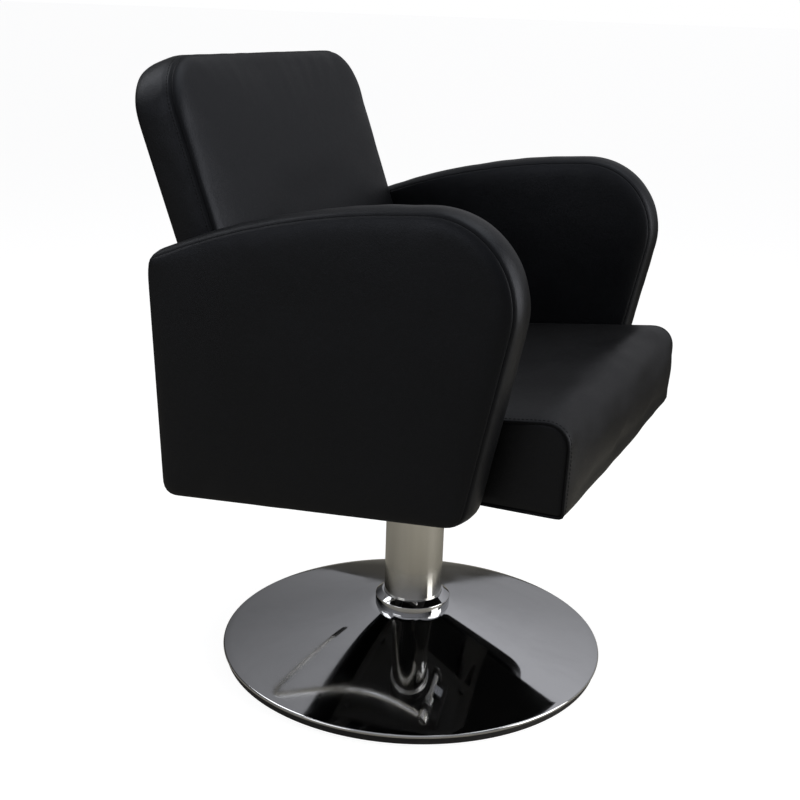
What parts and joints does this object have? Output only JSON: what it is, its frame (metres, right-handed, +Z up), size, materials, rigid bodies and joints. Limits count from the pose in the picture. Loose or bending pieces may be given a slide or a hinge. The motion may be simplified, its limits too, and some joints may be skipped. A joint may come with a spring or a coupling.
{
  "type": "styling chair",
  "caption": "Hair salon styling chair: padded tub of two round-nosed arms, thick seat and raked back on a swivelling hydraulic column with a chromed cone base.",
  "frame": {"origin": "on the floor, under the axis of the pedestal column", "axes": "+Z up along the column, the chair faces -Y, +X is to the sitter's left"},
  "size_m": [0.6626, 0.6062, 0.841],
  "materials": {
    "chrome": "polished",
    "floor_rubber": "matte",
    "black_steel": "satin",
    "cast_black": "satin",
    "zinc_steel": "satin",
    "bearing_steel": "satin",
    "white_plastic": "matte",
    "black_plastic": "satin",
    "plywood": "raw",
    "black_cloth": "matte",
    "black_leather": "satin",
    "seat_leather": "satin"
  },
  "bodies": {
    "base": {"floor_ring": "floor_rubber", "ballast_plate": "black_steel", "base_dome": "chrome", "base_collar": "chrome", "column_tube": "chrome", "column_flange": "black_steel", "flange_bolts": "zinc_steel", "tube_floor": "black_steel", "lower_race": "bearing_steel", "guide_bush": "white_plastic", "column_cap": "chrome"},
    "rod": {"bearing_balls": "bearing_steel", "upper_race": "bearing_steel", "piston_rod": "chrome", "piston": "bearing_steel"},
    "seat": {"pump_cylinder": "chrome", "cylinder_gland": "black_steel", "wear_ring": "white_plastic", "pump_head": "cast_black", "mount_plate": "black_steel", "plate_bolts": "black_steel", "plate_nuts": "black_steel", "front_rail": "black_steel", "rear_rail": "black_steel", "seat_board": "plywood", "dust_cover": "black_cloth", "seat_cushion": "seat_leather", "arm_core_right": "plywood", "arm_core_left": "plywood", "arm_pad_right": "black_leather", "arm_pad_left": "black_leather", "arm_bolts": "zinc_steel", "tee_nuts": "zinc_steel", "rear_panel": "black_leather", "back_board": "plywood", "back_cushion": "black_leather", "back_brackets": "black_steel", "foot_bolts": "black_steel", "board_bolts": "zinc_steel"},
    "lever": {"pump_lever": "chrome", "lever_shaft": "bearing_steel", "lever_spring": "bearing_steel", "lever_cap": "black_plastic"},
    "plunger": {"pump_plunger": "bearing_steel"}
  },
  "joints": [
    {"name": "swivel", "type": "hinge", "parent": "base", "child": "rod", "pos_m": [0, 0, 0.027], "axis": [0, 0, 1], "continuous": true},
    {"name": "lift", "type": "slide", "parent": "rod", "child": "seat", "axis": [0, 0, 1], "range_m": [0, 0.14]},
    {"name": "lever_pivot", "type": "hinge", "parent": "seat", "child": "lever", "pos_m": [0, -0.058, 0.296], "axis": [1, 0, 0], "range_deg": [-15, 0], "stiffness_Nm_per_rad": 20, "springref_deg": 5.73},
    {"name": "plunger_slide", "type": "slide", "parent": "seat", "child": "plunger", "axis": [0, 0, 1], "range_m": [0, 0.0042]}
  ],
  "couplings": [
    {"joint": "plunger_slide", "follows": "lever_pivot", "m_per_rad": -0.0155}
  ]
}
